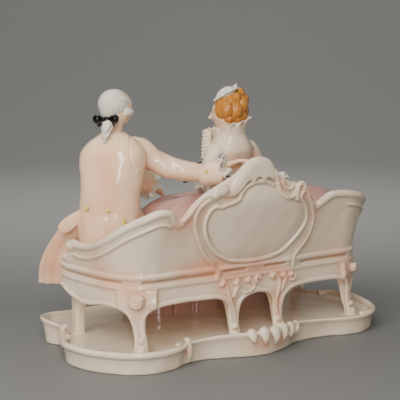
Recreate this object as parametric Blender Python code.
"""Courting couple on a rococo sofa: a porcelain group cast and fired as one piece.

Metres, +Z up. The sofa is seen from behind at +Y, its front looks along -Y, and
the gentleman sits at its +X end. Plans and figures are drawn in millimetres at
the sizes named below and stretched when one of those sizes is changed.
"""
import bmesh
import bpy
import numpy as np

# Base, a shaped tray with a curled rim
mm = 0.001
baseLength = 206 * mm
baseDepth = 118 * mm
floorHeight = 7 * mm
rimHeight = 11.5 * mm
rimWall = 3.2 * mm
rimFlare = 2.6 * mm
lobeThickness = 2.6 * mm

# Sofa, its wall measured round the back from arm to arm
sofaLength = 186 * mm
sofaDepth = 73 * mm
seatHeight = 51 * mm
apronTop = 43 * mm
archHeight = 32.3 * mm
wallThickness = 3.6 * mm
wallLean = 10.5 * mm
wallRise = 58 * mm
rollRadius = 2.1 * mm
beadRadius = 1.5 * mm
bandWidth = 5.5 * mm
apronThickness = 4 * mm
legRadius = 3.1 * mm

# Figures, from the seat to the crown
manHeight = 96 * mm
ladyHeight = 98 * mm

# Finish of the faceted solid
voxelSize = 0.75 * mm
triangleCount = 9700
glazeColour = (0.80, 0.72, 0.60, 1.0)
glazeRoughness = 0.12

# Metres to a millimetre of the drawings below, which are made at 206 by 118 for the base,
# a rim of 11.5, a sofa of 186 by 73 with a wall of 58 and figures of 96 and 98 on a seat 44 high
baseStretch = np.array([baseLength / 206, baseDepth / 118])
rimStretch = rimHeight / 11.5
sofaStretch = np.array([sofaLength / 186, sofaDepth / 73])
riseStretch = wallRise / 58
manStretch = manHeight / 96
ladyStretch = ladyHeight / 98
footStretch = (seatHeight - floorHeight) / 44

# Foot of the base, anticlockwise from the gentleman's front lobe: x, y, rim over its usual height
basePlan = [
    (101, -34, 3.5), (96, -20, 1), (102, -6, 0), (108, 9, 0), (105, 25, 0), (97, 38, 0),
    (87, 47, 0), (75, 51, 0), (63, 49.5, 0), (54, 45, 1), (42, 44.5, 1.5), (29, 49, 2.5),
    (16, 54, 3), (4, 55, 3), (-9, 51, 2.5), (-22, 45, 1.5), (-36, 44.5, 0.5), (-46, 46, 0),
    (-57, 50, 0), (-68, 50.5, 0), (-80, 45, 0), (-87, 36, 0), (-92, 21, 0), (-94, 6, 0),
    (-90, -9, -1), (-82, -25, -2), (-90, -38, -2), (-86, -52, -2.5), (-70, -59, -3),
    (-48, -61, -3), (-26, -58, -3), (0, -60, -3), (26, -59, -3), (48, -63, -3),
    (70, -61, -2.5), (90, -54, 0),
]

# Sofa wall from the left arm's front end round the back: x, y, top over the seat
wallPlan = [
    (84, -35, 1.5), (91, -29, 1.5), (93, -21, 1.5), (92.8, -14, 1.5), (92.2, -10.5, 11),
    (91.2, -3, 10.8), (89, 8, 12.3), (86, 19, 17.2), (81, 27, 23.5), (75, 32, 28.7), (68, 34, 32.5), (62, 34, 31.5), (59, 34, 27.5), (55.5, 34, 25.5),
    (52, 34, 28), (47, 34, 34), (40, 34.5, 39.5), (32, 35, 43.5), (22, 35.5, 48.5),
    (14.5, 35.5, 54.5), (9, 35.5, 57), (3.5, 35.5, 57.2), (-0.5, 35.5, 55), (-3.5, 35.5, 50.5),
    (-8.5, 35.5, 43.5), (-15, 35.5, 42.5), (-21.5, 35.5, 41), (-27, 35, 36.5), (-32, 34.5, 31),
    (-37.5, 34, 27.5), (-42, 34, 30), (-48, 34, 33.5), (-57, 34, 34), (-66, 34, 32.5),
    (-74, 31, 29), (-80, 24, 22), (-85, 12, 15), (-89, -1, 11), (-91.5, -6, 10.5),
    (-92.2, -10.5, 11), (-92.8, -14, 1.5), (-93, -21, 1.5), (-91, -29, 1.5), (-84, -35, 1.5),
]

# Shield on the sofa's back, x and height over the seat: the two sides of its outer frame,
# and its inner frame anticlockwise as seen from behind
outerLeft = [(38.9, 38.7), (44.9, 34.7), (46.8, 27.7), (45, 20.3), (41.8, 13.3), (37.3, 6.1),
             (31.4, 0.1), (28.6, -3)]
outerRight = [(-24, 40.7), (-27.4, 37.4), (-32.9, 29.3), (-36, 22.7), (-36.3, 15.6), (-34.1, 8.7),
              (-28.6, 2.3), (-25, -1.7)]
innerFrame = [(31.9, 33.5), (34.8, 34.2), (37.9, 32.7), (40, 28.5), (39.8, 21.2), (36, 13.3),
              (29.8, 6.6), (21.3, 1.9), (10.6, 0.2), (-2, 0.2), (-14.4, 3), (-24.1, 10.6),
              (-29.9, 18.6), (-29.6, 25.7), (-25.5, 31.8), (-20.5, 34.6), (-15.4, 36.4),
              (-8.6, 39.4), (-3.5, 43.2), (1.9, 45.6), (8.9, 46), (15.5, 43.8), (19.2, 40.3),
              (20.3, 37.6), (22.5, 36.3), (26, 35.2)]

# Legs by their place under the wall, from the left arm round the back to the right arm,
# and how far forward the arms reach
legPlaces = [(85.8, -20.8), (76.5, 32), (16, 36), (-15, 36), (-73.5, 32), (-84, -35)]
armEnd = -10

manFacing = (-0.62, -0.78)
manHeadFacing = (-0.85, -0.53)
ladyFacing = (0.40, -0.92)
ladyHeadFacing = (0.60, -0.80)
manPlace = (75, 0)
ladyPlace = (-4, 4)

shapes = []


def addSurface(rings, wrap=False):
    """Closed skin over rings of points (ring, point, xyz), ends fanned to their middles."""
    rings = np.asarray(rings, float)
    count, around = rings.shape[:2]
    points = rings.reshape(-1, 3)
    index = np.arange(count * around).reshape(count, around)
    if wrap:
        index = np.vstack([index, index[:1]])
    here, ahead = index[:-1], index[1:]
    quads = np.stack([here, np.roll(here, -1, 1), np.roll(ahead, -1, 1), ahead], -1)
    faces = quads.reshape(-1, 4).tolist()
    if not wrap:
        ends = np.array([rings[0].mean(0), rings[-1].mean(0)])
        first, last = count * around, count * around + 1
        points = np.vstack([points, ends])
        bottom = np.stack([np.roll(index[0], -1), index[0], np.full(around, first)], -1)
        top = np.stack([index[-1], np.roll(index[-1], -1), np.full(around, last)], -1)
        faces += bottom.tolist() + top.tolist()
    shapes.append((points, faces))


def curve(control, count, closed=False):
    """Catmull-Rom curve through the control points, read at even steps of its parameter."""
    control = np.asarray(control, float)
    if closed:
        padded = np.vstack([control[-1:], control, control[:2]])
    else:
        before = 2 * control[:1] - control[1:2]
        after = 2 * control[-1:] - control[-2:-1]
        padded = np.vstack([before, control, after])
    spans = len(padded) - 3
    place = np.linspace(0, spans, count, endpoint=not closed)
    span = np.minimum(place.astype(int), spans - 1)
    t = (place - span)[:, None]
    a, b, c, d = (padded[span + k] for k in range(4))
    return 0.5 * (2 * b + (c - a) * t + (2 * a - 5 * b + 4 * c - d) * t**2
                  + (3 * b - 3 * c + d - a) * t**3)


def unit(vectors):
    vectors = np.asarray(vectors, float)
    return vectors / np.linalg.norm(vectors, axis=-1, keepdims=True)


def tube(path, radius, sides=12, reference=(0, 0, 1), flat=1.0, wrap=False):
    """Round rings of the given radius carried along a path; flat squashes them along reference."""
    path = np.asarray(path, float)
    if wrap:
        tangent = unit(np.roll(path, -1, 0) - np.roll(path, 1, 0))
    else:
        tangent = unit(np.gradient(path, axis=0))
    side = unit(np.cross(tangent, np.broadcast_to(reference, path.shape)))
    rise = np.cross(side, tangent) * flat
    radius = np.broadcast_to(np.asarray(radius, float), len(path))[:, None, None]
    turn = np.linspace(0, 2 * np.pi, sides, endpoint=False)[None, :, None]
    rings = path[:, None] + radius * (np.cos(turn) * side[:, None] + np.sin(turn) * rise[:, None])
    addSurface(rings, wrap)


def limb(control, radii, reference=(0, 0, 1), flat=1.0, sides=14):
    """A tube on a curve through a few joints, with its radius running through theirs."""
    both = curve(np.column_stack([control, radii]), 6 * len(control))
    tube(both[:, :3], np.maximum(both[:, 3], 0.1 * mm), sides, reference, flat)


def ball(centre, radii, facing=(0, -1), lean=0.0, sides=20):
    """Ellipsoid whose radii run sideways, along facing and upwards, leaning along facing."""
    front = np.array([facing[0], facing[1], 0.0])
    front /= np.linalg.norm(front)
    up = np.array([0, 0, 1.0]) + lean * front
    up /= np.linalg.norm(up)
    side = np.cross(front, up)
    front = np.cross(up, side)
    polar = np.linspace(0.12, np.pi - 0.12, sides // 2 + 1)[:, None, None]
    turn = np.linspace(0, 2 * np.pi, sides, endpoint=False)[None, :, None]
    ring = radii[0] * np.cos(turn) * side + radii[1] * np.sin(turn) * front
    addSurface(np.asarray(centre) + np.sin(polar) * ring - radii[2] * np.cos(polar) * up)


def body(sections, facing, folds=0, depth=None, sides=48, swirl=0.0):
    """Loft of upright ovals (x, y, z, half width, half depth) turned to facing.

    Its folds are a cosine round the oval, as deep as depth says at each section.
    """
    rows = curve(sections, 5 * len(sections))
    front = unit(facing)
    side = np.array([-front[1], front[0]])
    turn = np.linspace(0, 2 * np.pi, sides, endpoint=False)[None, :]
    if folds:
        wave = curve(np.asarray(depth, float)[:, None], len(rows))
        phase = swirl * np.linspace(0, 1, len(rows))[:, None]
        wave = 1 + wave * np.cos(folds * turn + phase)
    else:
        wave = np.ones((len(rows), sides))
    wide = wave * rows[:, 3:4] * np.cos(turn)
    deep = wave * rows[:, 4:5] * np.sin(turn)
    x = rows[:, 0:1] + wide * side[0] + deep * front[0]
    y = rows[:, 1:2] + wide * side[1] + deep * front[1]
    addSurface(np.stack([x, y, np.broadcast_to(rows[:, 2:3], x.shape)], -1))


def normals(plan, closed):
    """Outward normals of an anticlockwise plan curve."""
    if closed:
        step = np.roll(plan, -1, 0) - np.roll(plan, 1, 0)
    else:
        step = np.gradient(plan, axis=0)
    step = unit(step)
    return np.stack([step[:, 1], -step[:, 0]], -1)


def makeBase():
    """Tray: its outline carried up through rings that curl out at the rim and drop to the floor."""
    drawn = curve(basePlan, 260, closed=True)
    plan = drawn[:, :2] * baseStretch
    outward = normals(plan, closed=True)
    rim = rimHeight + drawn[:, 2] * rimStretch
    steps = [
        (0.2 * mm, -3 * mm, 0), (0, 0, 0), (0.1 * rimFlare, 0, 0.35), (0.45 * rimFlare, 0, 0.72),
        (rimFlare, 0, 0.93), (rimFlare - 0.3 * rimWall, 0, 1.0), (rimFlare - rimWall, 0, 0.93),
        (-rimWall, floorHeight, 0.12), (-2 * rimWall, floorHeight, 0.0),
    ]
    rings = []
    for out, lift, share in steps:
        height = lift + share * (rim - lift)
        rings.append(np.column_stack([plan + out * outward, height]))
    addSurface(rings)


def sofaWall(count=240):
    """Plan, outward normal and top height round the sofa's wall."""
    drawn = curve(wallPlan, count)
    plan = drawn[:, :2] * sofaStretch
    return plan, normals(plan, closed=False), seatHeight + drawn[:, 2] * riseStretch


def leaning(height):
    """How far the wall leans out at a height: none at the seat band, all of it near the top."""
    share = np.clip((height - apronTop) / (0.75 * wallRise), 0, 1.0)
    return wallLean * share**1.3


def makeWall():
    """Wall of the sofa, its rolled top, the beads on the wings and the double band below."""
    plan, outward, top = sofaWall()
    low = archHeight + 3 * mm
    share = np.linspace(0, 1, 14)
    outer = []
    inner = []
    for part in share:
        height = low + part * (top - low)
        out = leaning(height)[:, None] * outward
        outer.append(np.column_stack([plan + out, height]))
        inner.append(np.column_stack([plan + out - wallThickness * outward, height]))
    rings = np.stack(outer + inner[::-1], 1)
    addSurface(rings)
    edge = np.column_stack([plan + (leaning(top)[:, None] - 0.4 * wallThickness) * outward, top])
    tube(edge, rollRadius, sides=12)
    left = plan[:, 0] > 0
    armReach = armEnd * sofaStretch[1]
    for wing in (left, ~left):
        chosen = wing & (np.abs(plan[:, 0]) > 0.33 * sofaLength) & (plan[:, 1] > armReach)
        below = top[chosen] - 3 * rollRadius
        out = leaning(below)[:, None] * outward[chosen]
        tube(np.column_stack([plan[chosen] + out, below]), 0.6 * beadRadius, sides=8)
        tip = np.where(wing, np.abs(plan[:, 1] - armReach), np.inf).argmin()
        ball(edge[tip] - [0, 0, 0.9 * rollRadius], np.full(3, 1.5 * rollRadius))
    for height in (apronTop - beadRadius, apronTop - beadRadius + bandWidth):
        place = plan + (leaning(height) + 0.3 * beadRadius) * outward
        tube(np.column_stack([place, np.full(len(plan), height)]), beadRadius, sides=10)


def seatOutline(inset):
    """Closed plan of the seat: the wall's inside and a serpentine front edge."""
    plan, outward = sofaWall()[:2]
    inside = plan - inset * outward
    right, left = inside[-1], inside[0]
    share = np.linspace(0, 1, 62)[1:-1]
    x = right[0] + share * (left[0] - right[0])
    y = left[1] - (1.5 + 2.5 * np.cos(4 * np.pi * share)) * mm * np.sin(np.pi * share)
    return np.vstack([inside, np.column_stack([x, y])])


def makeSeat():
    """Seat block, its rail with the arched apron below, and the legs."""
    low = seatHeight - archHeight - 3 * mm
    rings = []
    for inset, drop in ((1 * mm, low), (1 * mm, 2.5 * mm), (2 * mm, 0.5 * mm), (6 * mm, 0)):
        outline = seatOutline(inset)
        rings.append(np.column_stack([outline, np.full(len(outline), seatHeight - drop)]))
    addSurface(rings)
    plan, outward = sofaWall()[:2]
    front = seatOutline(0)[len(plan):]
    front = np.vstack([plan[-1:], front, plan[:1]])
    frontOut = np.tile([0.0, -1.0], (len(front), 1))
    legs = np.array(legPlaces) * sofaStretch
    reach = np.linalg.norm(plan[:, None] - legs[None], axis=2)
    makeApron(plan, outward, reach.min(1))
    corner = np.minimum(np.abs(front[:, 0] - plan[0, 0]), np.abs(front[:, 0] - plan[-1, 0]))
    makeApron(front, frontOut, corner)
    for place, nearest in zip(legs, reach.argmin(0)):
        makeLeg(place, outward[nearest])


def makeApron(plan, outward, reach):
    """Strip under the seat whose lower edge arches between legs reach away, with a bead on it.

    The edge falls from the arches' crown to the floor as the exponential of the way to a leg.
    """
    low = archHeight - 0.92 * (archHeight - floorHeight) * np.exp(-reach / (1.15 * legRadius))
    rings = []
    for share, level in ((0.15, 1), (0.15, 0), (-0.85, 0), (-0.85, 1)):
        height = low + level * (apronTop - low)
        rings.append(np.column_stack([plan + share * apronThickness * outward, height]))
    addSurface(np.stack(rings, 1))
    edge = np.column_stack([plan + 0.1 * apronThickness * outward, low + 0.4 * beadRadius])
    tube(edge, beadRadius, sides=10)


def makeLeg(place, outward):
    """Cabriole leg: knee with its knob, tapering in and out again to a small scrolled foot.

    Its steps are out and round in leg radii, and up as a share from the floor to the arches.
    """
    rise = archHeight - floorHeight
    steps = [(0.2, 1.26, 1.5), (0.5, 1.04, 1.6), (0.45, 0.74, 1.4), (-0.06, 0.44, 1.1),
             (-0.13, 0.22, 0.94), (0.13, 0.06, 1.0), (0.2, -0.06, 1.16)]
    control = [np.append(place + out * legRadius * outward, floorHeight + up * rise)
               for out, up, width in steps]
    limb(control, [width * legRadius for out, up, width in steps], reference=(*outward, 0))
    knob = np.append(place + 1.35 * legRadius * outward, floorHeight + 1.13 * rise)
    ball(knob, np.array([1.5, 1.05, 1.55]) * legRadius, facing=outward)


def backPoint(x, z, proud):
    """Point on the back of the wall, from millimetres along it and over the seat as drawn."""
    plan = sofaWall()[0]
    back = plan[:, 1] > 0.4 * plan[:, 1].max()
    order = np.argsort(plan[back, 0])
    across = np.asarray(x, float) * sofaStretch[0]
    height = seatHeight + np.asarray(z, float) * riseStretch
    y = np.interp(across, plan[back, 0][order], plan[back, 1][order])
    return np.stack([across, y + leaning(height) + proud * mm, height], -1)


def strand(points, radius, proud=0.8, count=40):
    """Bead of a radius in millimetres on the back of the wall, through points like backPoint's."""
    line = curve(points, count)
    tube(backPoint(line[:, 0], line[:, 1], proud), radius * mm, sides=8, reference=(0, 1, 0))


def scroll(centre, size, start, finish, radius=1.3, proud=0.6, shrink=0.75):
    """C-scroll on the back of the wall: a bead on an arc that curls in towards its finish."""
    turn = np.radians(np.linspace(start, finish, 26))
    reach = size * (1 - shrink * np.linspace(0, 1, 26)**1.6)
    path = backPoint(centre[0] + reach * np.cos(turn), centre[1] + reach * np.sin(turn), proud)
    tube(path, radius * mm, sides=8, reference=(0, 1, 0))


def plateau(outline, middle, steps):
    """Ground inside an outline on the back: rings shrunk to its middle, each standing proud."""
    rings = []
    for share, proud in steps:
        ring = middle + share * (outline - middle)
        rings.append(backPoint(ring[:, 0], ring[:, 1], proud))
    addSurface(rings)


def makeMedallion():
    """Shield on the back: a step inside the outer frame, a hollow, an inner bead and its field."""
    outer = curve(outerLeft + [(0, -4)] + outerRight[::-1] + [(-14, 45), (3, 53), (20, 47)],
                  120, closed=True)
    inner = curve(innerFrame, 140, closed=True)
    plateau(outer, np.array([5, 20]), [(1, -2), (1, 1), (0.95, 1), (0.9, 0.4), (0.7, 0.2)])
    plateau(inner, np.array([5.5, 21]), [(1, -2), (1, 0.3), (0.88, 1.2), (0.55, 2.1), (0.1, 2.5)])
    strand(outerLeft, 1.2)
    strand(outerRight, 1.2)
    tube(backPoint(inner[:, 0], inner[:, 1], 1.0), 1.2 * mm, 8, (0, 1, 0), wrap=True)


def makeCrest():
    """Thick lip over the shield, the beads and volutes below it, and curls at both shoulders."""
    strand([(28, 41.5), (19.5, 49), (11.5, 56.2), (7, 57.4), (2.5, 56.6), (-2.3, 50.2)], 2.6, 0)
    strand([(29.3, 39.2), (21.5, 42.4), (18.6, 46.3), (14.8, 49.2), (11.4, 47.4)], 1.2, 1.1)
    strand([(11.4, 47.6), (6.6, 50), (4.4, 47)], 1.1, 1.2)
    strand([(-3.6, 52), (-6.4, 42), (-11.7, 36.2), (-15.4, 35.6), (-17.9, 37.4)], 1.3, 1.1)
    scroll((1.4, 48.6), 2.8, 200, -160, 1.0, 1.3)
    strand([(-19.6, 33.6), (-19.2, 37.5), (-22.2, 43.2), (-24.6, 41.6), (-24.2, 39.2)], 1.7, 1.2)
    for x, height, size in ((32.5, 42.6, (6.0, 3.4, 3.3)), (35.8, 41.0, (2.8, 2.8, 2.8))):
        ball(backPoint(x, height, 0.6), np.array(size) * mm, (0, 1))


def makeApronLeaves():
    """Leaves that curl over at the band and run down over the two middle legs."""
    for points in ([(26.2, -12.6), (24.2, -10.8), (21.8, -16.4), (16.6, -28), (15.6, -35)],
                   [(16.6, -13.2), (14.6, -11), (16, -15.6), (18, -20)],
                   [(8.6, -12.4), (6.6, -10.8), (3.4, -15.4), (6, -17.6), (10.8, -18.4)],
                   [(-8.6, -12.2), (-10.6, -10), (-14.6, -15), (-13.2, -27), (-16.6, -38)],
                   [(-16.8, -12.6), (-18.6, -10.8), (-17.6, -16.6), (-16, -21)],
                   [(-22.4, -13), (-24.2, -11.2), (-24.8, -15)]):
        strand(points, 1.4, 1.6)


def makeShell():
    """Rocaille shell on the back of the base: lobes fanned over the rim, and side leaves."""
    for x, y, z, wide, high, turned in ((19, 53.5, 9, 5, 5, 0.3), (11, 56, 9.5, 5, 6, 0.15),
                                        (3, 56.5, 9.5, 5, 6, 0.0), (-5, 54, 9, 5, 6, -0.2),
                                        (-13, 50.5, 8, 5, 5, -0.4), (-20, 47.5, 7, 4, 4.5, -0.5),
                                        (-42, 46, 7, 3, 4.5, 0.4), (100, -14, 8, 3.5, 6, 1.2)):
        place = np.append(np.array([x, y]) * baseStretch, z * rimStretch)
        size = wide * baseStretch[0], lobeThickness, high * rimStretch
        ball(place, size, (np.sin(turned), np.cos(turned)), 0.3)


def makeFigure(build, place, stretch):
    """Run a function that draws a figure in millimetres round its seat, and set it in place."""
    first = len(shapes)
    build()
    seat = np.append(place * sofaStretch, seatHeight)
    for k in range(first, len(shapes)):
        points, faces = shapes[k]
        points = points * [stretch, stretch, 1]
        points[:, 2] *= np.where(points[:, 2] > 0, stretch, footStretch)
        shapes[k] = (seat + points, faces)


def drawMan():
    body([(2, -5, 2, 19, 14), (2, -4, 10, 20, 15), (1, -3, 19, 18.5, 14), (0.5, -1, 29, 17.5, 12.5),
          (0.5, 0, 38, 17.2, 12), (0, 1, 47, 18, 12), (-0.5, 1, 56, 19, 11.5), (-1, 1, 62, 18, 10.5),
          (-2, 0, 67, 14.8, 8.8), (-2.5, -0.5, 70.5, 10.2, 7), (-3, -1, 74, 6, 5.7)], manFacing)
    # Coat skirts, fanned in folds over the seat and the arm
    body([(1, -1, 33, 15, 10), (0.5, -2, 27, 17.5, 13.5), (-1, -4, 19, 18, 15.5),
          (-2.3, -6, 10, 16.2, 16.2), (-2.5, -7, 2, 15, 16)], manFacing, folds=11,
         depth=[0, 0.03, 0.05, 0.05, 0.05], swirl=0.6)
    body([(12, -8, 27, 7, 4), (14.8, -16, 18, 8.5, 4), (17.4, -24, 8, 9, 3.8), (19.4, -31, -4, 8.5, 3.8),
          (18.7, -37, -16.5, 7.5, 3.6)], (0.54, 0.84), folds=7, depth=[0, 0.06, 0.1, 0.14, 0.18])
    drawManHead()
    # Right arm along the sofa to its crest, with cuff, lace and hand
    limb([(-11, 1, 62), (-17, 3, 63), (-23, 5.5, 57.3), (-30, 10, 53), (-39, 16, 50.8),
          (-48, 20.5, 49.5)], [7.5, 7.2, 6.6, 6.4, 6.0, 5.4])
    limb([(-47.5, 20, 49.5), (-49, 21.5, 49.3), (-56, 26, 49.8)], [5.5, 7.2, 7.6])
    limb([(-54, 25.5, 50), (-57.5, 27.5, 51.5), (-59.5, 28.5, 52.5)], [5, 10.3, 9.2])
    limb([(-56.5, 28.5, 52.5), (-60, 32, 55), (-63.5, 36, 57.8), (-66.5, 40, 59.3), (-69, 43, 57.5)],
         [4.2, 4.2, 3.6, 3.2, 2.4])
    # Left arm across the lap, reaching the lady's hand
    limb([(8, -4, 61), (6.5, -8, 51.5), (0.5, -15.5, 43), (-11, -20.5, 41.5), (-27, -20, 42)],
         [6.6, 6.2, 6.2, 5.8, 5.4])
    limb([(-26, -20, 42), (-31, -20, 42), (-36, -21, 40)], [5.4, 6.8, 7.2])
    limb([(-36, -21, 40), (-42, -23, 35), (-48, -25.5, 30.5), (-53, -28, 28)], [3.8, 3.6, 3.2, 2])
    # Legs turned towards the lady, in breeches and stockings, with buckled shoes
    limb([(0, -4, 9), (-20, -14, 15), (-36, -24, 17), (-41, -29, 12)], [10, 9.6, 8.2, 7])
    limb([(-41, -29, 12), (-45, -35, -4), (-48, -40, -22), (-50, -42, -37)], [6.8, 6.2, 5.2, 3.8])
    limb([(-49, -41, -39), (-52, -46, -40), (-56, -52, -42)], [4.2, 4.4, 2.8])
    limb([(6, -8, 9), (-12, -24, 13), (-26, -36, 13), (-31, -41, 9)], [10, 9.4, 8.2, 7])
    limb([(-31, -41, 9), (-34, -44, -6), (-36, -46, -24), (-36, -47, -37)], [6.8, 6.0, 5.0, 3.8])
    limb([(-35, -46, -39), (-38, -50, -40), (-42, -56, -42)], [4.2, 4.4, 2.8])


def drawManHead():
    head = np.array([-6, -5, 86])
    face = unit(manHeadFacing)
    side = np.array([face[1], -face[0]])
    limb([(-2.5, -1, 70), (-4.5, -3, 80)], [5.2, 5.0])
    ball(head, (7.6, 8.6, 10.2), face)
    ball(head + [1.2, 0.8, 0.7], (9.0, 9.4, 9.8), face)
    ball(head + [*(8.7 * face), -1.2], (1.3, 2.0, 2.0), face)
    ball(head + [*(5.6 * face), -7.6], (3.6, 3.4, 3.0), face)
    for hand in (1, -1):
        ball(head + [*(8.2 * hand * side + 0.5 * face), -2.2], (3.0, 4.6, 3.3), face)
    # Black bow and the queue below it
    knot = np.array([4.4, 3.8, 80])
    across = np.array([0.87, -0.48, 0])
    ball(knot, (2.4, 2.2, 2.0))
    for hand in (1, -1):
        limb([knot, knot + hand * 3 * across, knot + hand * 6.2 * across], [1.6, 2.4, 3.0])
    limb([knot, (5.2, 4.6, 75), (5.8, 4.8, 71), (6.2, 4.2, 67.5)], [2.6, 3.4, 2.6, 1.0])


def drawLady():
    body([(-1, -2, 30, 13, 11), (-0.5, -1.5, 37, 11.5, 10), (0.5, -1, 46, 12, 10.5),
          (0.6, -1, 54, 15.5, 12.4), (0.5, 0.5, 60, 16.2, 12), (1.2, 1, 65, 12.6, 10.4),
          (2, 1.5, 69, 9.6, 9.2)], ladyFacing)
    # Wide skirt over the seat and down to the base
    body([(-14, -42, -46, 52, 18), (-14, -41, -32, 51, 18), (-15, -37, -15, 54, 21),
          (-16, -27, -1, 60, 28), (-17, -18, 10, 65, 33), (-17, -16, 19, 65, 31),
          (-16, -15, 26, 61, 26), (-15, -13, 31, 50, 19), (-8, -8, 34, 30, 14), (-2, -3, 37, 13, 11)],
         (0, -1), folds=15, depth=[0.06, 0.06, 0.05, 0.035, 0.02, 0.015, 0.012, 0.01, 0.01, 0],
         sides=96, swirl=1.2)
    ball((-57, -9, 18), (31, 19, 15.5), (0, -1), sides=28)
    ball((27, -17, 20), (25, 17, 13), (0, -1), sides=28)
    drawLadyCollar()
    drawLadyHead()
    # Pleated jabot, arms, lace at the elbow and the fan
    limb([(10, -12.5, 68), (10.6, -13.5, 61), (10.6, -14, 54)], [3.0, 3.6, 2.8])
    limb([(-12, -2, 59.5), (-16, -1.5, 53), (-20, 1, 45.5), (-22.5, 3.5, 40)], [6.2, 5.8, 5.2, 4.6])
    limb([(-22.5, 3.5, 40), (-19, -6, 37), (-12, -15, 36)], [4.2, 3.8, 3.0])
    ball((-27, 11, 44), (4.5, 3.4, 3.6), (0.54, 0.84))
    ball((-32, 12.5, 41.5), (4.6, 3.2, 3.2), (0.54, 0.84))
    limb([(12, 4, 60), (16.5, 2.5, 51), (17.5, -3, 43), (15, -8, 37.5)], [6, 5.4, 4.4, 3.2])
    ball((19.5, -6.5, 46), (7, 1.7, 8.2), (0.54, 0.84))


def drawLadyCollar():
    """High pleated collar: a funnel that stands up behind the head and dips in front."""
    turn = np.linspace(0, 2 * np.pi, 72, endpoint=False)
    back = np.arctan2(0.5, -0.87)
    rings = []
    for up, wall in ((0, 0), (0.35, 0), (0.7, 0), (1.0, 0), (1.0, 1.9), (0.6, 1.9), (0.1, 1.9)):
        reach = 9.6 + 3.6 * up**2 - wall
        reach = reach * (1 + 0.05 * up**2 * np.cos(14 * turn))
        height = 66 + up * (9.6 + 3.4 * np.cos(turn - back))
        rings.append(np.stack([2 + reach * np.cos(turn), 1.5 + reach * np.sin(turn), height], -1))
    addSurface(rings, wrap=True)


def drawLadyHead():
    head = np.array([4, 0, 84.2])
    face = unit(ladyHeadFacing)
    limb([(1.5, 1, 62), (3, 0.5, 78)], [5, 4.4])
    ball(head, (7.0, 8.4, 9.8), face)
    ball(head + [*(8.3 * face), -1.0], (1.1, 1.8, 1.8), face)
    ball(head + [*(5.4 * face), -7.2], (3.2, 3.2, 2.8), face)
    ball(head + [-2.4, 1.4, 2.0], (8.4, 8.8, 8.8), face)
    for place, size in (((-3.5, 2, 93), 3.4), ((-7.6, 2.5, 88.5), 3.5), ((-4.5, 5, 84), 4.2),
                        ((-6, -1, 83), 4.4), ((-3, 3, 79), 4.6), ((7, 6.5, 81.6), 3.0), ((2, 7, 84), 4.0)):
        ball(place, (size, size, 0.9 * size), face)
    ball((4.6, 0, 93.4), (7.2, 6.6, 3.6), face, lean=0.35)
    ball((-0.6, 1.2, 96.6), (3.0, 1.8, 2.0), face, lean=0.5)


def makeSolid():
    """Fuse the shapes into one skin, thin it to few triangles and cut the underside flat."""
    points = np.vstack([p for p, f in shapes])
    starts = np.cumsum([0] + [len(p) for p, f in shapes[:-1]])
    faces = [[v + start for v in face] for start, (p, f) in zip(starts, shapes) for face in f]
    mesh = bpy.data.meshes.new("porcelain_group")
    mesh.from_pydata(points.tolist(), [], faces)
    group = bpy.data.objects.new("porcelain_group", mesh)
    bpy.context.scene.collection.objects.link(group)
    fuse = group.modifiers.new("Fuse", "REMESH")
    fuse.mode = "VOXEL"
    fuse.voxel_size = voxelSize
    ease = group.modifiers.new("Ease", "SMOOTH")
    ease.factor = 0.5
    ease.iterations = 2
    applyModifiers(group)
    keepLargest(group.data)
    thin = group.modifiers.new("Thin", "DECIMATE")
    thin.ratio = triangleCount / (2 * len(group.data.polygons))
    applyModifiers(group)
    cutUnderside(group.data)
    centreOnBase(group.data)
    group.data.shade_smooth()
    group.data.set_sharp_from_angle(angle=np.radians(50))
    return group


def applyModifiers(group):
    evaluated = group.evaluated_get(bpy.context.evaluated_depsgraph_get())
    mesh = bpy.data.meshes.new_from_object(evaluated)
    group.modifiers.clear()
    old = group.data
    group.data = mesh
    bpy.data.meshes.remove(old)


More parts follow.
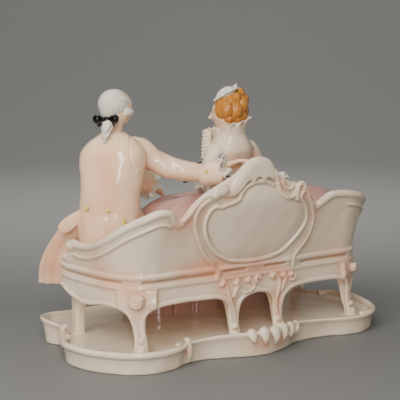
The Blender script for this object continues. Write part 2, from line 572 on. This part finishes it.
def keepLargest(mesh):
    """Delete every loose skin but the largest, such as the walls of a closed pocket."""
    form = bmesh.new()
    form.from_mesh(mesh)
    unseen = set(form.verts)
    skins = []
    while unseen:
        skin = [unseen.pop()]
        for vert in skin:
            for edge in vert.link_edges:
                other = edge.other_vert(vert)
                if other in unseen:
                    unseen.remove(other)
                    skin.append(other)
        skins.append(skin)
    skins.sort(key=len)
    for skin in skins[:-1]:
        bmesh.ops.delete(form, geom=skin, context="VERTS")
    form.to_mesh(mesh)
    form.free()


def cutUnderside(mesh):
    form = bmesh.new()
    form.from_mesh(mesh)
    everything = form.verts[:] + form.edges[:] + form.faces[:]
    bmesh.ops.bisect_plane(form, geom=everything, plane_co=(0, 0, 0), plane_no=(0, 0, 1),
                           clear_inner=True, dist=1e-7)
    rim = [edge for edge in form.edges if edge.is_boundary]
    bmesh.ops.edgeloop_fill(form, edges=rim)
    bmesh.ops.triangulate(form, faces=form.faces[:])
    bmesh.ops.recalc_face_normals(form, faces=form.faces[:])
    form.to_mesh(mesh)
    form.free()


def centreOnBase(mesh):
    """Move the mesh so that the middle of its box stands over the origin."""
    place = np.empty(3 * len(mesh.vertices), np.float32)
    mesh.vertices.foreach_get("co", place)
    place = place.reshape(-1, 3)
    middle = (place.min(0) + place.max(0)) / 2
    place[:, :2] -= middle[:2]
    mesh.vertices.foreach_set("co", place.ravel())


def makeGlaze():
    glaze = bpy.data.materials.new("glazed porcelain")
    glaze.use_nodes = True
    shader = glaze.node_tree.nodes["Principled BSDF"]
    shader.inputs["Base Color"].default_value = glazeColour
    shader.inputs["Roughness"].default_value = glazeRoughness
    shader.inputs["Metallic"].default_value = 0.0
    return glaze


for old in list(bpy.data.objects):
    bpy.data.objects.remove(old, do_unlink=True)
makeBase()
makeShell()
makeWall()
makeSeat()
makeMedallion()
makeCrest()
makeApronLeaves()
makeFigure(drawMan, manPlace, manStretch)
makeFigure(drawLady, ladyPlace, ladyStretch)
makeSolid().data.materials.append(makeGlaze())
